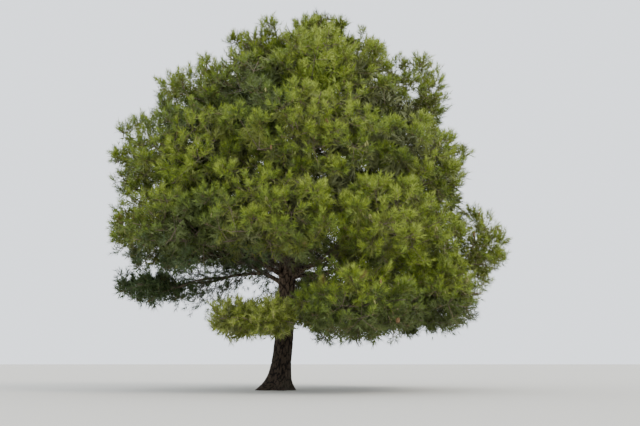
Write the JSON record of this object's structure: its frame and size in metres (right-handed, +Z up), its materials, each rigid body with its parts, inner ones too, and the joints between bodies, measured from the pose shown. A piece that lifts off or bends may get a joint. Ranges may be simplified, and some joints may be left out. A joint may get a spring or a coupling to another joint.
{
  "type": "pine tree",
  "caption": "Open-grown Mediterranean pine: a leaning flared trunk, boughs all round and a broad rounded crown of separate needle masses, hanging lower on one side.",
  "frame": {"origin": "on the ground in the middle of the trunk's foot, on the flat cut under the trunk", "axes": "+Z up along the trunk, +X to the side where the crown reaches furthest and hangs lowest, -Y towards the picture's viewer"},
  "size_m": [9.592, 8.6031, 9.3283],
  "materials": {
    "bark": "dark brown fissured bark, matt",
    "limb": "grey-brown bark of the boughs, matt",
    "needles": "yellow-green needles in soft tufts, matt"
  },
  "bodies": {
    "root": {"trunk": "bark", "bough_skirt_1": "limb", "bough_skirt_2": "limb", "bough_skirt_3": "limb", "bough_skirt_4": "limb", "bough_skirt_5": "limb", "bough_front_tuft": "limb", "bough_lower_right": "limb", "bough_lower_right_back": "limb", "bough_lower_back": "limb", "bough_lower_left_back": "limb", "bough_lower_left": "limb", "bough_lower_left_front": "limb", "bough_lower_front": "limb", "bough_lower_right_front": "limb", "bough_hanging": "limb", "bough_middle_1": "limb", "bough_middle_2": "limb", "bough_middle_3": "limb", "bough_middle_4": "limb", "bough_middle_5": "limb", "bough_middle_6": "limb", "bough_middle_7": "limb", "needles_skirt_1": "needles", "needles_skirt_2": "needles", "needles_skirt_3": "needles", "needles_skirt_4": "needles", "needles_skirt_5": "needles", "needles_front_tuft": "needles", "needles_lower_right": "needles", "needles_lower_right_back": "needles", "needles_lower_back": "needles", "needles_lower_left_back": "needles", "needles_lower_left": "needles", "needles_lower_left_front": "needles", "needles_lower_front": "needles", "needles_lower_right_front": "needles", "needles_hanging": "needles", "needles_middle_1": "needles", "needles_middle_2": "needles", "needles_middle_3": "needles", "needles_middle_4": "needles", "needles_middle_5": "needles", "needles_middle_6": "needles", "needles_middle_7": "needles", "needles_upper_1": "needles", "needles_upper_2": "needles", "needles_upper_3": "needles", "needles_upper_4": "needles", "needles_upper_5": "needles", "needles_upper_6": "needles", "needles_crest_1": "needles", "needles_crest_2": "needles", "needles_crest_3": "needles", "needles_crest_4": "needles", "needles_crest_5": "needles", "needles_top": "needles"}
  },
  "joints": []
}
